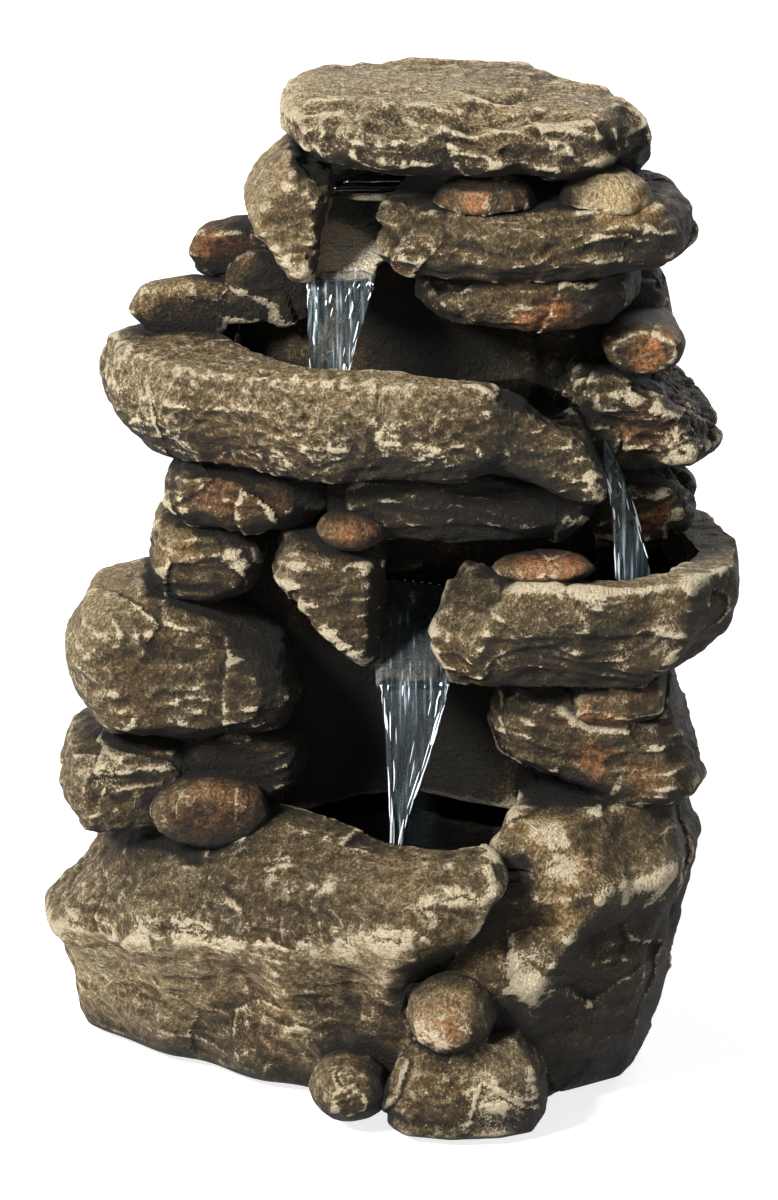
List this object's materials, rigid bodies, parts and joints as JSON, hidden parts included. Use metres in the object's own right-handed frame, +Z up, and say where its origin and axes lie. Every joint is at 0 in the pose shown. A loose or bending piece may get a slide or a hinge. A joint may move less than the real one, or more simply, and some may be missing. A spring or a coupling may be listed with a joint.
{
  "type": "tabletop rock cascade fountain",
  "caption": "Tabletop cascade fountain of stacked cast rocks round a hollow cliff, with spillways, basins, a tub, a pump with a riser tube and a back door.",
  "frame": {"origin": "on the table, under the middle of the whole object's box", "axes": "+Z up, -Y towards the viewer who sees the falls, +X to that viewer's right"},
  "size_m": [0.272, 0.2232, 0.3932],
  "materials": {
    "rock": "dark umber cast resin with dry-brushed cream on its raised edges",
    "rock_shell": "dark umber cast resin, little brushing",
    "rock_chute": "pale grey-tan cast resin",
    "rock_copper": "umber cast resin with copper and ochre washes",
    "pump_plastic": "black moulded plastic",
    "rotor_plastic": "white moulded plastic over a magnet",
    "bearing_plastic": "grey bearing plastic",
    "steel": "stainless",
    "vinyl": "translucent flexible tube",
    "rubber": "black moulded rubber"
  },
  "bodies": {
    "fountain": {"base_feet": "rubber", "cap_back": "rock_shell", "cap_prop": "rock_shell", "cap_slab": "rock", "chute_stone_left": "rock_chute", "chute_wedge": "rock", "cliff_shell": "rock_shell", "copper_cobble": "rock_copper", "copper_pebble": "rock_copper", "cord_grommet": "rubber", "fitting_nut": "pump_plastic", "fitting_seal": "rubber", "front_stone": "rock", "hose_clips": "steel", "impeller_shaft": "steel", "inlet_strainer": "pump_plastic", "left_bed": "rock", "left_boulder": "rock", "left_filler": "rock_shell", "left_knob": "rock", "left_log_high": "rock_copper", "left_log_low": "rock", "left_stump": "rock", "lip_pebble": "rock_copper", "lip_stone": "rock", "lower_basin": "rock", "lower_chute": "rock_chute", "middle_basin": "rock", "outlet_fitting": "pump_plastic", "pump_body": "pump_plastic", "pump_gland": "rubber", "reservoir_tub": "rock_shell", "right_boulder": "rock", "right_filler": "rock_shell", "right_wedge": "rock", "rim_pebble": "rock_copper", "round_cobble": "rock", "shadow_stone": "rock_shell", "shaft_bushes": "bearing_plastic", "slab_pebble_left": "rock_copper", "slab_pebble_right": "rock_copper", "small_cobble": "rock", "spout_bed": "rock", "strata_foot": "rock", "strata_rock": "rock", "suction_feet": "rubber", "supply_tube": "vinyl", "top_chute": "rock_chute", "top_reservoir": "rock_shell", "under_slab": "rock_copper", "upper_basin": "rock", "upper_slab": "rock", "upper_spout": "rock", "volute_cover": "pump_plastic"},
    "impeller": {"impeller": "rotor_plastic"},
    "flow_slider": {"flow_slider": "pump_plastic"},
    "access_door": {"access_door": "pump_plastic"},
    "drain_plug": {"drain_plug": "rubber"}
  },
  "joints": [
    {"name": "impeller_spin", "type": "hinge", "parent": "fountain", "child": "impeller", "pos_m": [0.012, 0.05, 0.034], "axis": [0, 1, 0], "continuous": true},
    {"name": "flow_slide", "type": "slide", "parent": "fountain", "child": "flow_slider", "axis": [1, 0, 0], "range_m": [-0.007, 0.007]},
    {"name": "door_pull", "type": "slide", "parent": "fountain", "child": "access_door", "axis": [0, 1, 0], "range_m": [0, 0.06]},
    {"name": "plug_pull", "type": "slide", "parent": "fountain", "child": "drain_plug", "axis": [0, 1, 0], "range_m": [0, 0.025]}
  ]
}
